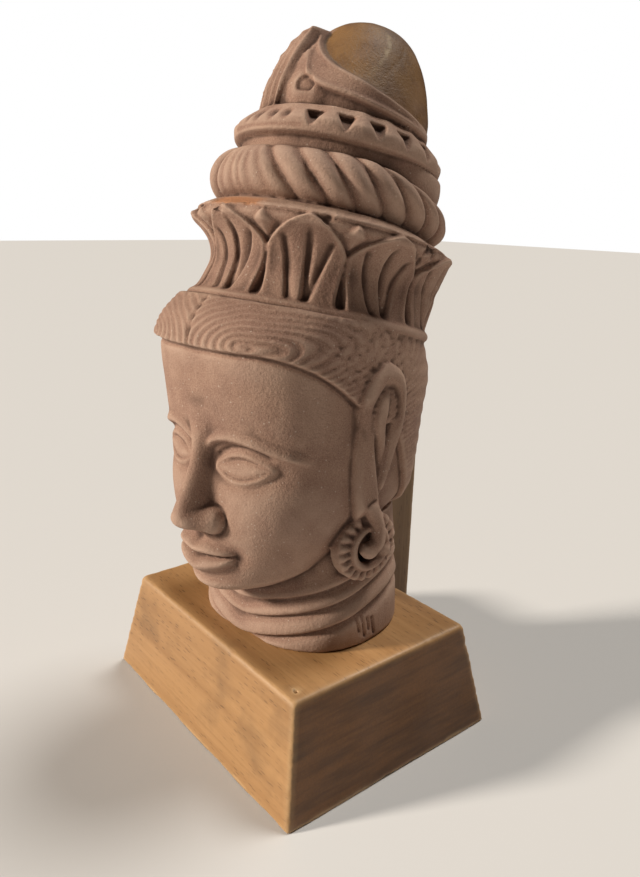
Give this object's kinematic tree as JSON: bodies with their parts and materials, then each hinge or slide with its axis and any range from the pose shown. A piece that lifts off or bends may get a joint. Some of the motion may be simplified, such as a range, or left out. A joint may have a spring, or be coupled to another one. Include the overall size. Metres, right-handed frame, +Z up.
{
  "type": "carved stone head on a wooden stand",
  "caption": "Carved sandstone head with a tall tiered crown, long ears and a folded neck, standing on a battered wooden block with a square wooden post behind it.",
  "frame": {"origin": "middle of the wooden block's underside", "axes": "+Z up, -Y out of the block's front, the way the face looks, +X towards the statue's left"},
  "size_m": [0.1794, 0.1627, 0.3677],
  "materials": {
    "sandstone": "matte",
    "block_wood": "satin",
    "post_wood": "satin"
  },
  "bodies": {
    "root": {"stone_head": "sandstone", "wooden_block": "block_wood", "wooden_post": "post_wood"}
  },
  "joints": []
}
